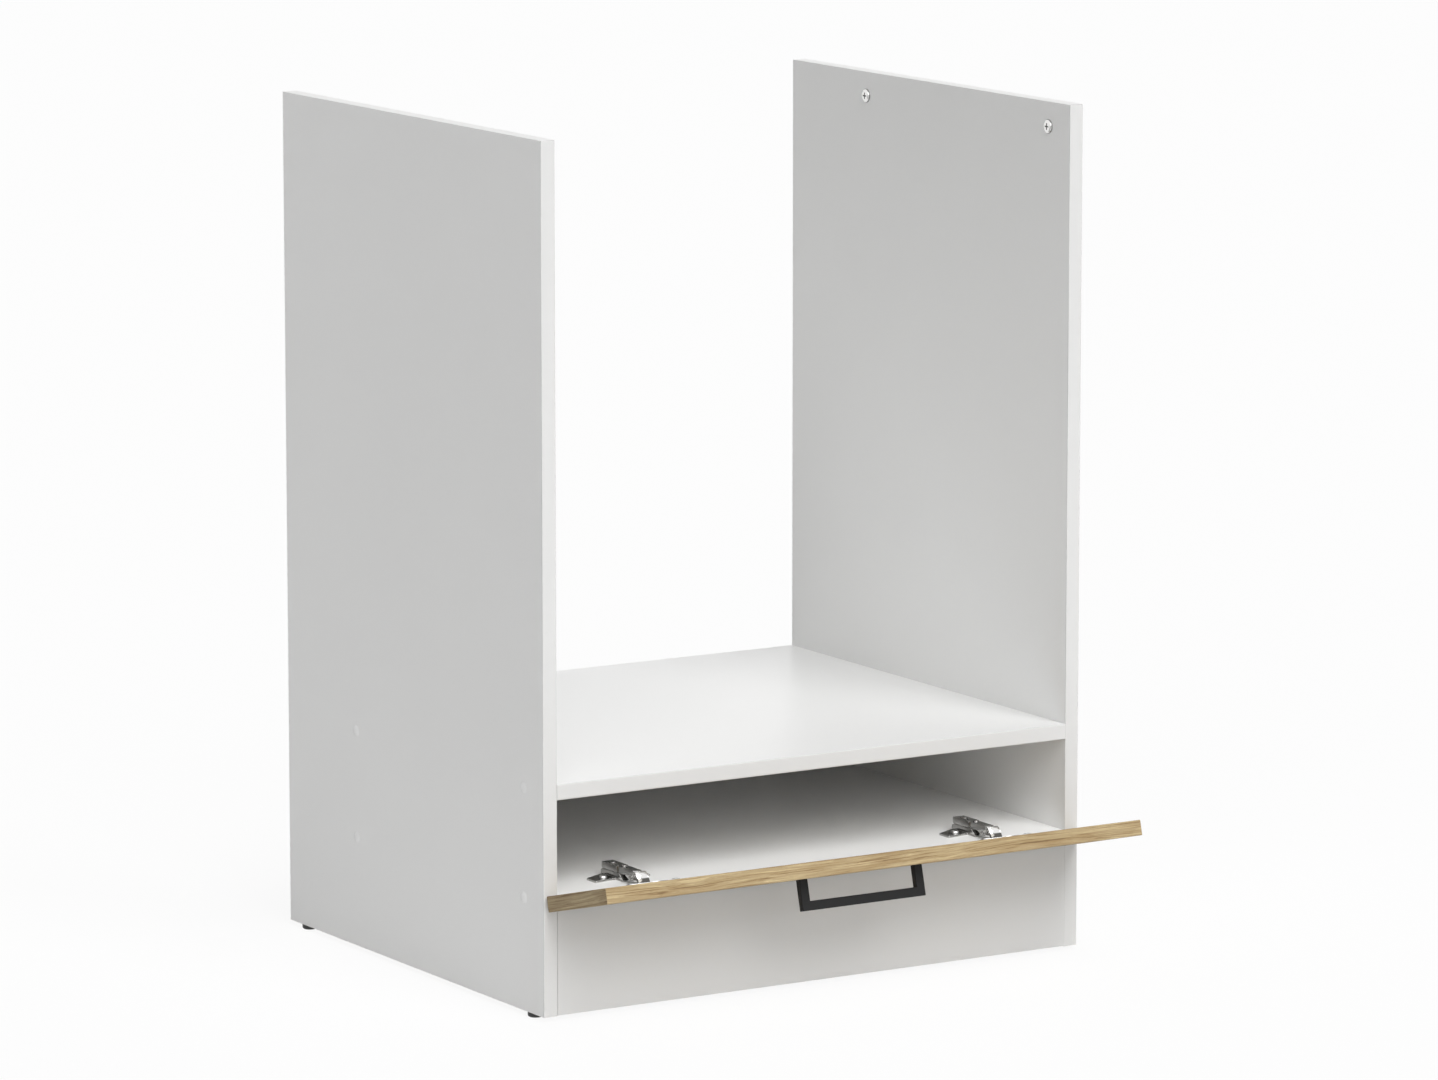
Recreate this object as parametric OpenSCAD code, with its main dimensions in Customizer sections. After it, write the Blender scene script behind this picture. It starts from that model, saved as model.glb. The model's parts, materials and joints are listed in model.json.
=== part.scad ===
// Base cabinet that houses a built-in oven: two side panels, an oven shelf,
// a low storage compartment under it and a flap front on two concealed hinges.
// X runs along the width, Y from the front to the back, Z up from the floor.
// The flap is drawn at flap_angle; 0 is closed and 90 is level.

/* [Carcass] */
// Overall width over the side panels
cabinet_w = 600; // [500:10:800]
// Depth of the side panels
cabinet_d = 500; // [460:10:560]
// Height of the side panels
side_h = 823; // [760:1:900]
// Thickness of the carcass boards
board_t = 15; // [15:1:19]
// Rounding of the banded board edges
edge_r = 1; // [0.5:0.1:1.5]
// Height of the plinth board
plinth_h = 100; // [90:1:150]
// Lift of the plinth board above the lower edge of the sides
plinth_lift = 0.5; // [0.3:0.1:3]
// Clear height of the storage compartment
storage_h = 90; // [80:1:140]
// Thickness of the back panel of the compartment
back_t = 3; // [2.5:0.1:5]
// Distance of the back panel from the outer edges it covers
back_inset = 3; // [1:0.5:6]

/* [Feet] */
// Diameter of a foot
foot_d = 14.8; // [12:0.2:14.8]
// Height of a foot
foot_h = 5; // [4:0.5:12]
// Distance of the front feet from the front edge
foot_front = 29; // [20:1:60]
// Distance of the rear feet from the rear edge
foot_rear = 26; // [20:1:60]
// Length of the nail of a foot
foot_nail_l = 16; // [10:1:25]

/* [Fixings] */
// Distance of the front carcass screws from the front edge
screw_front = 37; // [30:1:60]
// Distance of the rear carcass screws from the front edge
screw_rear = 362; // [250:1:400]
// Diameter of the thread of a carcass screw
screw_d = 5; // [4.5:0.1:5.5]
// Length of a carcass screw
screw_l = 48; // [40:1:50]
// Diameter of a cover cap
cap_d = 12; // [11:0.5:14]
// Height of a cover cap over the panel
cap_rise = 0.8; // [0.5:0.1:1.2]
// Diameter of a wooden dowel
dowel_d = 8; // [6:1:8]
// Length of a wooden dowel
dowel_l = 30; // [26:1:35]
// Distance of the front dowels from the front edge
dowel_front = 69; // [60:1:110]
// Distance of the rear dowels from the front edge
dowel_rear = 426; // [405:1:440]
// Depth of a dowel in a side panel
dowel_bite = 10; // [8:0.5:12]
// Distance of the plinth brackets from the middle of the cabinet
bracket_x = 150; // [60:5:200]
// Leg of a plinth bracket
bracket_leg = 26; // [20:1:35]
// Width of a plinth bracket
bracket_w = 18; // [14:1:30]
// Thickness of a plinth bracket
bracket_t = 1.6; // [1.2:0.1:2.5]

/* [Cabinet connectors] */
// Depth of the connectors below the upper edge of the side panel
connector_drop = 24; // [18:1:40]
// Diameter of a connector head
connector_head_d = 14; // [12:0.5:18]
// Rise of a connector head over the panel
connector_head_h = 2.2; // [1.5:0.1:3]
// Diameter of a connector sleeve
connector_sleeve_d = 8; // [7:0.5:9]

/* [Flap] */
// Height of the flap front
flap_h = 111; // [105:1:125]
// Thickness of the flap front
flap_t = 15; // [15:1:19]
// Side reveal of the flap front
flap_reveal = 2; // [1:0.5:4]
// Gap between the closed flap and the carcass
flap_gap = 1.8; // [1.7:0.1:2]
// How far the closed flap reaches below the top of the bottom panel
flap_overlay = 14.1; // [13.8:0.1:14.3]
// Opening angle at which the flap is drawn
flap_angle = 75.5; // [0:0.5:90]

/* [Handle] */
// Distance between the handle screws
handle_pitch = 128; // [96:32:192]
// Width of the handle bar
handle_bar_w = 9; // [8:0.5:12]
// Depth of the handle bar along the flap
handle_bar_d = 7; // [6:0.5:10]
// Projection of the handle
handle_rise = 30; // [25:1:40]
// Distance of the handle from the lower edge of the closed flap
handle_up = 72; // [60:1:90]
// Diameter of a handle screw
handle_screw_d = 4; // [3.5:0.5:4]

/* [Hinges] */
// Distance of each hinge from the end of the flap
hinge_inset = 100; // [80:5:150]
// Diameter of the hinge cup
cup_d = 35; // [34.6:0.1:35.4]
// Depth of the hinge cup
cup_depth = 11.4; // [11.2:0.1:12]
// Distance of the cup from the lower edge of the flap
cup_edge = 3; // [2.8:0.1:3.2]
// Thickness of the cup flange
flange_t = 1; // [0.8:0.1:1.2]
// Distance between the two cup screws
cup_screw_pitch = 48; // [46:1:52]
// Offset of the cup screws from the middle of the cup
cup_screw_up = 6; // [4:0.5:8]
// Distance of the arm pin in front of the carcass
pin_a_out = 3.8; // [3.7:0.1:3.9]
// Height of the arm pin over the bottom panel
pin_a_up = 9.7; // [9.6:0.1:9.8]
// Distance of the rear arm pin behind the front of the carcass
pin_c_in = 6.4; // [6.2:0.1:6.6]
// Height of the rear arm pin over the bottom panel
pin_c_up = 5.9; // [5.8:0.1:6]
// Distance of the outer link's cup pin from the lower edge of the flap
pin_b_along = 8.5; // [8.4:0.1:8.6]
// Depth of the outer link's cup pin in the flap
pin_b_deep = 7; // [6.9:0.1:7.1]
// Distance of the inner link's cup pin from the lower edge of the flap
pin_e_along = 6.2; // [6.1:0.1:6.3]
// Depth of the inner link's cup pin in the flap
pin_e_deep = 3.2; // [3.1:0.1:3.3]
// Diameter of the hinge pins
pin_d = 2.2; // [2:0.1:2.3]
// Width of the hinge arm
arm_w = 12.4; // [12.2:0.1:13]
// Length of the hinge arm behind the front of the carcass
arm_l = 56; // [52:1:64]
// Height of the top of the arm over the bottom panel
arm_top = 13.6; // [13.4:0.1:14]
// Height of the side walls of the arm
arm_wall = 6.3; // [5.5:0.1:7]
// Sheet thickness of the arm and the outer link
sheet_t = 1.2; // [1:0.1:1.3]
// Distance of the mounting plate screws from the front of the carcass
plate_line = 37; // [35:1:40]
// Half span of the mounting plate wings
wing_span = 30; // [28:1:36]
// Distance between the two mounting plate screws
plate_screw_pitch = 32; // [30:1:36]

/* [Hidden] */
eps = 0.01;
fit = 0.03;
play = 0.3;
run = 0.05;
white = [0.93, 0.93, 0.92];
steel = [0.78, 0.78, 0.8];

// Carcass levels and places
inner_w = cabinet_w - 2 * board_t;
bottom_z = plinth_lift + plinth_h;
bottom_top = bottom_z + board_t;
shelf_z = bottom_top + storage_h;
shelf_mid = shelf_z + board_t / 2;
bottom_mid = bottom_z + board_t / 2;
screw_lines = [screw_front, screw_rear];
dowel_lines = [dowel_front, dowel_rear];
plinth_dowels = [plinth_lift + plinth_h * 0.3, plinth_lift + plinth_h * 0.75];
screw_head_d = 9.6;
screw_head_h = 2.2;
screw_sink = 0.8;
screw_shank_d = screw_d + 2;
screw_socket_d = 4.6;
cap_stem_d = 3.6;
cap_stem_l = 2;
dowel_groove = 1.2;
dowel_nose = 1;
nail_d = 1.6;
nail_l = 18;
nail_head_d = 4;
nail_head_h = 0.6;
nail_count = 5;
connector_screw_d = 5;
connector_socket = [6.4, 1.5];
bracket_screw_d = 3.5;
bracket_screw_l = 12;
bracket_screw_head = [7, 1.8];
bracket_line = bracket_leg * 0.62;
foot_nail_d = 2.4;
foot_nail_head = [5, 0.9];
foot_nail_z = foot_h * 0.44;
cup_screw_d = 3;
cup_screw_l = 12;
cup_screw_head = [6.4, 0.8];
cup_screw_socket = [3.4, 0.7];
handle_screw_bite = 11;
handle_screw_sink = 2.4;
handle_screw_head = [8.4, 2.2];
handle_screw_socket = [4.6, 1.4];
plate_screw_d = 5;
plate_screw_l = 10.5;
plate_screw_head = [8.2, 2.8];
plate_screw_socket = [4.6, 1.5];
hinge_screw_d = 5;

// Flap and hinge places: [distance behind the front, height over the sides' lower edge]
flap_w = cabinet_w - 2 * flap_reveal;
hinge_x = flap_w / 2 - hinge_inset;
flap_z = bottom_top - flap_overlay;
outer_ratio = -0.18;
inner_ratio = -0.375;
design_angle = 75.5;
pin_a = [-pin_a_out, bottom_top + pin_a_up];
pin_c = [pin_c_in, bottom_top + pin_c_up];
cup_up = cup_edge + cup_d / 2;
bowl_r = cup_d / 2 - 0.1 - sheet_t;
pocket_r = 7;
pocket_floor = cup_depth - 1.1;
pocket_end = cup_edge + 13;
flange_low = cup_edge + 0.8;

function turn(p, a) = [p.x * cos(a) - p.y * sin(a), p.x * sin(a) + p.y * cos(a)];
// Points of an arc; first = 1 leaves out the point that it shares with the arc before it
function arc(c, r, a0, a1, n, first = 0) = [for (i = [first:n])
    c + r * [cos(a0 + (a1 - a0) * i / n), sin(a0 + (a1 - a0) * i / n)]];
function closed_at(along, deep) = [-flap_gap - deep, flap_z + along];
// Where the outer link's cup pin is when the flap stands at angle a
function pin_b_at(a) = pin_a + turn(closed_at(pin_b_along, pin_b_deep) - pin_a, outer_ratio * a);
// Where the inner lower corner of the flap is at angle a
function corner_at(a) = pin_b_at(a) - turn([-pin_b_deep, pin_b_along], a);
function flap_at(along, deep, a) = corner_at(a) + turn([-deep, along], a);

flap_reach = -min(flap_at(flap_h, flap_t, flap_angle).x,
    flap_at(handle_up + handle_bar_d / 2, flap_t + handle_rise, flap_angle).x);
y_shift = (flap_reach - cabinet_d - back_t) / 2;

// Placement and shared shapes
module place() {
    translate([0, y_shift, foot_h]) children();
}

module both_sides() {
    for (s = [-1, 1]) translate([s * hinge_x, 0, 0]) children();
}

// An outline in Y and Z, drawn out along X
module across(w) {
    rotate([90, 0, 90]) linear_extrude(w, center = true) children();
}

// A rod along X at [y, z]
module rod(p, d, l) {
    translate([0, p.x, p.y]) rotate([0, 90, 0]) cylinder(d = d, h = l, center = true, $fn = 32);
}

// A pin along X from x0 to x1
module peg(x0, x1, y, z, d) {
    translate([min(x0, x1), y, z]) rotate([0, 90, 0])
        cylinder(d = d, h = abs(x1 - x0), $fn = 32);
}

// Outline of a carcass board edge-on, [depth, thickness], with its two front edges rounded
board_edge = concat(arc([edge_r, edge_r], edge_r, 270, 180, 4),
    arc([edge_r, board_t - edge_r], edge_r, 180, 90, 4), [[cabinet_d, board_t], [cabinet_d, 0]]);

module flap_frame() {
    p = corner_at(flap_angle);
    translate([0, p.x, p.y]) rotate([flap_angle, 0, 0]) children();
}

// Something fixed to the outer link, drawn as it lies with the flap closed
module outer_frame() {
    translate([0, pin_a.x, pin_a.y]) rotate([outer_ratio * flap_angle, 0, 0]) children();
}

module inner_frame() {
    translate([0, pin_c.x, pin_c.y]) rotate([inner_ratio * flap_angle, 0, 0]) children();
}

// Carcass boards
module side_panel(s) {
    outer = s * cabinet_w / 2;
    inner = s * inner_w / 2;
    difference() {
        translate([s < 0 ? outer : inner, 0, 0]) linear_extrude(side_h)
            polygon([for (p = board_edge) [p.y, p.x]]);
        for (z = [shelf_mid, bottom_mid]) {
            for (y = screw_lines) {
                peg(outer - s * board_t * 2, outer + s, y, z, screw_shank_d + 2 * fit);
                peg(outer - s * (screw_head_h + screw_sink + fit), outer + s, y, z,
                    screw_head_d + 2 * fit);
            }
            for (y = dowel_lines)
                peg(inner - s, inner + s * (dowel_bite + fit), y, z, dowel_d + 2 * fit);
        }
        for (z = plinth_dowels)
            peg(inner - s, inner + s * (dowel_bite + fit), board_t / 2, z, dowel_d + 2 * fit);
        for (y = [foot_front, cabinet_d - foot_rear])
            translate([outer - s * board_t / 2, y, -1])
                cylinder(d = foot_nail_d + 2 * fit, h = foot_nail_l + 1, $fn = 24);
        if (s > 0) for (y = screw_lines)
            peg(inner - 1, outer + 1, y, side_h - connector_drop, connector_sleeve_d + 2 * fit);
    }
}

module level_board(z) {
    difference() {
        translate([0, 0, z]) across(inner_w) polygon(board_edge);
        for (s = [-1, 1]) {
            for (y = screw_lines)
                peg(s * (inner_w / 2 + 1), s * (cabinet_w / 2 - screw_l - 1), y, z + board_t / 2,
                    screw_d + 2 * fit);
            for (y = dowel_lines)
                peg(s * (inner_w / 2 + 1), s * (inner_w / 2 + dowel_bite - dowel_l - fit), y,
                    z + board_t / 2, dowel_d + 2 * fit);
        }
        back_nail_places(z + board_t / 2) rotate([90, 0, 0])
            cylinder(d = nail_d + 2 * fit, h = nail_l, $fn = 16);
    }
}

module back_nail_places(z) {
    for (i = [0:nail_count - 1])
        translate([(i / (nail_count - 1) - 0.5) * (inner_w - 90), cabinet_d, z]) children();
}

module oven_shelf() {
    color(white) place() level_board(shelf_z);
}

module bottom_panel() {
    color(white) place() difference() {
        level_board(bottom_z);
        both_sides() plate_screw_places() translate([0, 0, bottom_top])
            mirror([0, 0, 1]) cylinder(d = plate_screw_d + 2 * fit, h = plate_screw_l + 1, $fn = 24);
        bracket_places() translate([0, board_t + bracket_line, bottom_z - 1])
            cylinder(d = bracket_screw_d + 2 * fit, h = bracket_screw_l, $fn = 20);
    }
}

module plinth_board() {
    color(white) place() difference() {
        translate([-inner_w / 2, 0, plinth_lift]) cube([inner_w, board_t, plinth_h - 0.02]);
        for (s = [-1, 1]) for (z = plinth_dowels)
            peg(s * (inner_w / 2 + 1), s * (inner_w / 2 + dowel_bite - dowel_l - fit), board_t / 2,
                z, dowel_d + 2 * fit);
        bracket_places() translate([0, board_t + 1, bottom_z - bracket_line])
            rotate([90, 0, 0]) cylinder(d = bracket_screw_d + 2 * fit, h = bracket_screw_l, $fn = 20);
    }
}

module back_panel() {
    color([0.75, 0.68, 0.56]) place() difference() {
        translate([back_inset - cabinet_w / 2, cabinet_d, bottom_z + back_inset])
            cube([cabinet_w - 2 * back_inset, back_t, storage_h + 2 * board_t - 2 * back_inset]);
        for (z = [shelf_mid, bottom_mid]) back_nail_places(z) translate([0, back_t + 1, 0])
            rotate([90, 0, 0]) cylinder(d = nail_d + 2 * fit, h = back_t + 2, $fn = 16);
    }
}

module back_nails() {
    color(steel) place() for (z = [shelf_mid, bottom_mid]) back_nail_places(z) {
        translate([0, back_t + fit, 0]) rotate([-90, 0, 0])
            cylinder(d1 = nail_head_d, d2 = nail_head_d - 1, h = nail_head_h, $fn = 20);
        translate([0, back_t + fit + 0.1, 0]) rotate([90, 0, 0])
            cylinder(d = nail_d, h = nail_l - 1, $fn = 16);
    }
}

// Fixings of the carcass
module wood_dowels() {
    color([0.85, 0.7, 0.48]) place() for (s = [-1, 1]) {
        for (z = [shelf_mid, bottom_mid]) for (y = dowel_lines) dowel(s, y, z);
        for (z = plinth_dowels) dowel(s, board_t / 2, z);
    }
}

module dowel(s, y, z) {
    x0 = s * (inner_w / 2 + dowel_bite);
    peg(x0 - s * dowel_nose, x0 + s * (dowel_nose - dowel_l), y, z, dowel_d);
    peg(x0, x0 - s * dowel_l, y, z, dowel_d - dowel_groove);
}

module carcass_screws() {
    top = cabinet_w / 2 - screw_sink;
    color(steel) place() for (s = [-1, 1]) for (z = [shelf_mid, bottom_mid]) for (y = screw_lines)
        difference() {
            union() {
                peg(s * top, s * (top - screw_head_h), y, z, screw_head_d);
                peg(s * (top - eps), s * (inner_w / 2 + fit), y, z, screw_shank_d);
                peg(s * (top - eps), s * (cabinet_w / 2 - screw_l), y, z, screw_d);
            }
            translate([s * cabinet_w / 2, y, z]) rotate([0, 90, 0]) cylinder(d = screw_socket_d,
                h = 2 * (screw_sink + screw_head_h), center = true, $fn = 6);
        }
}

module cover_caps() {
    rise_r = (pow(cap_d / 2, 2) + pow(cap_rise, 2)) / (2 * cap_rise);
    color(white) place() for (s = [-1, 1]) for (z = [shelf_mid, bottom_mid]) for (y = screw_lines)
        translate([s * cabinet_w / 2, y, z]) rotate([0, s * 90, 0]) {
            rotate_extrude($fn = 40) polygon(concat([[0, 0]],
                arc([0, cap_rise - rise_r], rise_r, 90 - asin(cap_d / 2 / rise_r), 90, 6)));
            translate([0, 0, -cap_stem_l]) cylinder(d = cap_stem_d, h = cap_stem_l + eps, $fn = 24);
        }
}

module foot_places() {
    for (s = [-1, 1]) for (y = [foot_front, cabinet_d - foot_rear])
        translate([s * (cabinet_w - board_t) / 2, y, 0]) children();
}

module feet() {
    color([0.06, 0.06, 0.06]) place() foot_places() difference() {
        translate([0, 0, -foot_h]) rotate_extrude($fn = 40)
            polygon([[0, 0], [foot_d * 0.4, 0], [foot_d * 0.48, foot_h * 0.18],
                [foot_d / 2, foot_h * 0.36], [foot_d / 2, foot_h], [0, foot_h]]);
        translate([0, 0, foot_nail_z - foot_h]) {
            cylinder(d = foot_nail_d + 2 * fit, h = foot_h, $fn = 24);
            cylinder(d = foot_nail_head.x + 2 * fit, h = foot_nail_head.y + 0.1, $fn = 24);
        }
    }
}

module foot_nails() {
    color(steel) place() foot_places() translate([0, 0, foot_nail_z - foot_h + fit]) {
        cylinder(d = foot_nail_d, h = foot_nail_l, $fn = 24);
        cylinder(d = foot_nail_head.x, h = foot_nail_head.y, $fn = 24);
    }
}

module bracket_places() {
    for (s = [-1, 1]) translate([s * bracket_x, 0, 0]) children();
}

module plinth_brackets() {
    hole = bracket_screw_d + 0.6;
    color(steel) place() bracket_places() difference() {
        translate([0, board_t, bottom_z]) across(bracket_w) polygon([[0, 0], [bracket_leg, 0],
            [bracket_leg, -bracket_t], [bracket_t + 1, -bracket_t], [bracket_t, -bracket_t - 1],
            [bracket_t, -bracket_leg], [0, -bracket_leg]]);
        translate([0, board_t + bracket_line, bottom_z - bracket_t - 1])
            cylinder(d = hole, h = bracket_t + 2, $fn = 24);
        translate([0, board_t + bracket_t + 1, bottom_z - bracket_line]) rotate([90, 0, 0])
            cylinder(d = hole, h = bracket_t + 2, $fn = 24);
    }
}

// Shank along +Z from the seat at 0, with a pan head [diameter, height] below it
module pan_screw(d, l, head) {
    cylinder(d = d, h = l, $fn = 24);
    translate([0, 0, -head.y]) rotate_extrude($fn = 32)
        polygon([[0, 0], [head.x * 0.3, 0], [head.x * 0.44, head.y * 0.35], [head.x / 2, head.y],
            [0, head.y]]);
}

module bracket_screws() {
    color(steel) place() bracket_places() {
        translate([0, board_t + bracket_line, bottom_z - bracket_t - fit])
            pan_screw(bracket_screw_d, bracket_screw_l - 1, bracket_screw_head);
        translate([0, board_t + bracket_t + fit, bottom_z - bracket_line])
            rotate([90, 0, 0]) pan_screw(bracket_screw_d, bracket_screw_l - 1, bracket_screw_head);
    }
}

// Connectors that join the cabinet to its neighbour, in the right side panel
module connector_places() {
    for (y = screw_lines) translate([inner_w / 2, y, side_h - connector_drop]) rotate([0, 90, 0])
        children();
}

// A cross cut [width, depth] into a head whose top is at 0
module cross_recess(socket) {
    for (a = [0, 90]) rotate(a) cube([socket.x, socket.x * 0.24, 2 * socket.y], center = true);
}

module connector_screws() {
    r = connector_head_d / 2;
    color(steel) place() connector_places() difference() {
        union() {
            translate([0, 0, -connector_head_h]) rotate_extrude($fn = 48)
                polygon([[0, 0], [r * 0.72, 0], [r * 0.9, connector_head_h * 0.3],
                    [r, connector_head_h * 0.75], [r, connector_head_h - fit],
                    [0, connector_head_h - fit]]);
            translate([0, 0, -fit - eps]) cylinder(d = connector_screw_d, h = board_t - 1, $fn = 32);
        }
        translate([0, 0, -connector_head_h]) cross_recess(connector_socket);
    }
}

module connector_sleeves() {
    r = connector_head_d / 2;
    color(steel) place() connector_places() difference() {
        union() {
            translate([0, 0, board_t + fit]) rotate_extrude($fn = 48)
                polygon([[0, 0], [r, 0], [r, connector_head_h * 0.3],
                    [r * 0.9, connector_head_h * 0.8], [r * 0.74, connector_head_h],
                    [0, connector_head_h]]);
            translate([0, 0, 0.5]) cylinder(d = connector_sleeve_d, h = board_t, $fn = 40);
        }
        translate([0, 0, -1]) cylinder(d = connector_screw_d + 2 * fit, h = board_t + 0.4, $fn = 32);
    }
}

// Mounting plate of a hinge: wings for two screws and a rail that the arm clips over
rail_w = arm_w - 2 * sheet_t - 0.6;
plate_t = 2;
wing_front = 10.5;
wing_rear = 7;
wing_root = 17;
wing_r = 1.2;
plate_front = 17;
plate_rear = 58;
plate_body_w = 12;
body_h = arm_top - arm_wall - play;
block_front = 28;

module plate_screw_places() {
    for (s = [-1, 1]) translate([s * plate_screw_pitch / 2, plate_line, 0]) children();
}

module mounting_plate(s) {
    rail_top = arm_top - sheet_t - play;
    color(steel) place() translate([s * hinge_x, 0, bottom_top]) difference() {
        union() {
            linear_extrude(plate_t) wing_outline();
            translate([-plate_body_w / 2, plate_front, 0]) rotate([90, 0, 90])
                linear_extrude(plate_body_w) polygon([[0, 0], [plate_rear - plate_front, 0],
                    [plate_rear - plate_front, body_h - 1.5], [plate_rear - plate_front - 3, body_h],
                    [7, body_h], [1.5, plate_t + 0.6], [0, plate_t - 0.6]]);
            translate([-rail_w / 2, block_front + 5, body_h - eps])
                cube([rail_w, plate_rear - block_front - 12, rail_top - body_h]);
        }
        plate_screw_places() translate([0, 0, -1])
            cylinder(d = plate_screw_d + 0.4, h = plate_t + 2, $fn = 32);
        for (y = [depth_screw_y, overlay_screw_y]) translate([0, y, -1])
            cylinder(d = hinge_screw_d + 2 * fit, h = arm_top + 2, $fn = 32);
    }
}

// The wings slant towards the root, more at the rear than at the front
module wing_outline() {
    x = wing_span - wing_r;
    root_x = plate_body_w * 0.8;
    translate([0, plate_line]) polygon(concat(arc([x, wing_rear - wing_r], wing_r, 0, 60, 4),
        [[root_x, wing_root], [-root_x, wing_root]],
        arc([-x, wing_rear - wing_r], wing_r, 120, 180, 4),
        arc([-x, wing_r - wing_front], wing_r, 180, 280, 5),
        [[-root_x, 3.5 - wing_front], [root_x, 3.5 - wing_front]],
        arc([x, wing_r - wing_front], wing_r, 260, 360, 5)));
}

module plate_screws() {
    r = plate_screw_head.x / 2;
    h = plate_screw_head.y;
    color(steel) place() both_sides() plate_screw_places()
        translate([0, 0, bottom_top + plate_t + fit]) difference() {
            union() {
                rotate_extrude($fn = 40) polygon([[0, 0], [r, 0], [r, h * 0.3], [r * 0.88, h * 0.7],
                    [r * 0.6, h * 0.96], [0, h]]);
                mirror([0, 0, 1]) cylinder(d = plate_screw_d, h = plate_t + plate_screw_l, $fn = 24);
            }
            translate([0, 0, h]) cross_recess(plate_screw_socket);
        }
}

// Hinge arm: a pressed channel, open below, with a narrow pair of cheeks for the two pins
depth_screw_y = 46;
overlay_screw_y = 25;
slot_play = 2;
depth_screw_head = [7.4, 0.7];
depth_screw_socket = [4.6, 1.6];
overlay_screw_rise = 1.4;
overlay_screw_socket = [4.2, 1.5];
screw_foot = 2.5;
arm_front = 0.6 - play / 2;
cheek_out = arm_w / 2 - sheet_t - 0.3;
cheek_in = cheek_out - sheet_t;
cheek_r = 2.4;
boss_r = 2.7;
cheek_rear = block_front + 3;

module hinge_arm(s) {
    wall_low = arm_top - arm_wall;
    color(steel) place() translate([s * hinge_x, 0, bottom_top]) difference() {
        union() {
            across(2 * cheek_out) polygon([[arm_front, arm_top - sheet_t],
                [block_front + 1, arm_top - sheet_t], [block_front + 1, arm_top],
                [arm_front + 0.8, arm_top], [arm_front, arm_top - 0.7]]);
            across(arm_w) polygon([[block_front, arm_top - sheet_t], [arm_l, arm_top - sheet_t],
                [arm_l, arm_top - 0.4], [arm_l - 0.5, arm_top], [block_front, arm_top]]);
            for (m = [-1, 1]) {
                translate([m * (arm_w - sheet_t) / 2, 0, 0]) across(sheet_t)
                    polygon([[block_front, arm_top - eps], [arm_l, arm_top - eps],
                        [arm_l, wall_low + 1], [arm_l - 1, wall_low], [block_front, wall_low]]);
                translate([m * (cheek_in + cheek_out) / 2, 0, 0]) across(sheet_t) cheek_outline();
                translate([m > 0 ? cheek_in : -arm_w / 2 + eps, block_front + eps, wall_low + eps])
                    cube([arm_w / 2 - cheek_in - eps, sheet_t, arm_wall - 0.5]);
            }
        }
        rod([-pin_a_out, pin_a_up], pin_d + 2 * fit, arm_w + 2);
        rod([pin_c_in, pin_c_up], pin_d + 2 * fit, arm_w + 2);
        for (y = [depth_screw_y - slot_play, depth_screw_y, depth_screw_y + slot_play,
            overlay_screw_y]) translate([0, y, 0])
                cylinder(d = hinge_screw_d + 2 * play, h = arm_top + 1, $fn = 32);
    }
}

module cheek_outline() {
    a = [-pin_a_out, pin_a_up];
    c = [pin_c_in, pin_c_up];
    polygon(concat(arc(c, boss_r, 300, 220, 5), arc(a, cheek_r, 235, 45, 12),
        [[arm_front + 0.4, arm_top - sheet_t + eps], [cheek_rear, arm_top - sheet_t + eps],
        [cheek_rear, arm_top - arm_wall], [16, arm_top - arm_wall], [11, pin_c_up - 0.5]]));
}

module headed_pin(p, l) {
    rod(p, pin_d, l);
    for (m = [-1, 1]) translate([m * (l / 2 + 0.25), 0, 0]) rod(p, pin_d + 1.6, 0.5);
}

module arm_pins() {
    color(steel) place() both_sides() {
        headed_pin(pin_a, 2 * link_out + 0.3);
        headed_pin(pin_c, 2 * cheek_out + 0.1);
    }
}

module depth_screws() {
    color(steel) place() both_sides() translate([0, depth_screw_y, bottom_top]) difference() {
        union() {
            translate([0, 0, arm_top + fit])
                cylinder(d = depth_screw_head.x, h = depth_screw_head.y, $fn = 40);
            translate([0, 0, screw_foot])
                cylinder(d = hinge_screw_d, h = arm_top + fit + eps - screw_foot, $fn = 32);
        }
        translate([0, 0, arm_top + fit + depth_screw_head.y]) cross_recess(depth_screw_socket);
    }
}

module overlay_screws() {
    color(steel) place() both_sides() translate([0, overlay_screw_y, bottom_top]) difference() {
        translate([0, 0, screw_foot]) cylinder(d = hinge_screw_d,
            h = arm_top + overlay_screw_rise - screw_foot, $fn = 32);
        translate([0, 0, arm_top + overlay_screw_rise]) cross_recess(overlay_screw_socket);
    }
}

// Outer link: a curved channel whose back is the bright nose of the hinge.
// Its outline is drawn with pin A at [0, 0] and the cup pin on the first axis.
link_out = arm_w / 2 - 0.1;
link_in = link_out - sheet_t;
nose_r = cheek_r + play + sheet_t + 0.1;
tail_r = 2.5;
back_r = 24;
nose_from = 177;
link_hollow = 2.3;

// Centre of the back's arc, which meets the circles round both pins
function back_centre(span) = let (p = back_r - nose_r, q = back_r - tail_r,
    x = (p * p - q * q + span * span) / (2 * span)) [x, -sqrt(p * p - x * x)];

// The back's curve, moved in by deep, from the angle nose_a on the nose to tail_a on the tail
function back_curve(span, deep, nose_a, tail_a) = let (c = back_centre(span),
    a0 = atan2(-c.y, -c.x), a1 = atan2(-c.y, span - c.x)) concat(
    arc([0, 0], nose_r - deep, nose_a, a0, ceil((nose_a - a0) / 12)),
    arc(c, back_r - deep, a0, a1, 12, 1),
    arc([span, 0], tail_r - deep, a1, tail_a, ceil((a1 - tail_a) / 15), 1));

// The cheeks' curve on the hollow side, from near the tail to near the nose
function hollow_curve(span) = let (r = (pow(span / 2, 2) + pow(link_hollow, 2)) / (2 * link_hollow),
    half = asin(span / 2 / r)) arc([span / 2, link_hollow - r], r, 90 - half * 0.62,
    90 + half * 0.45, 8);

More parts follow.
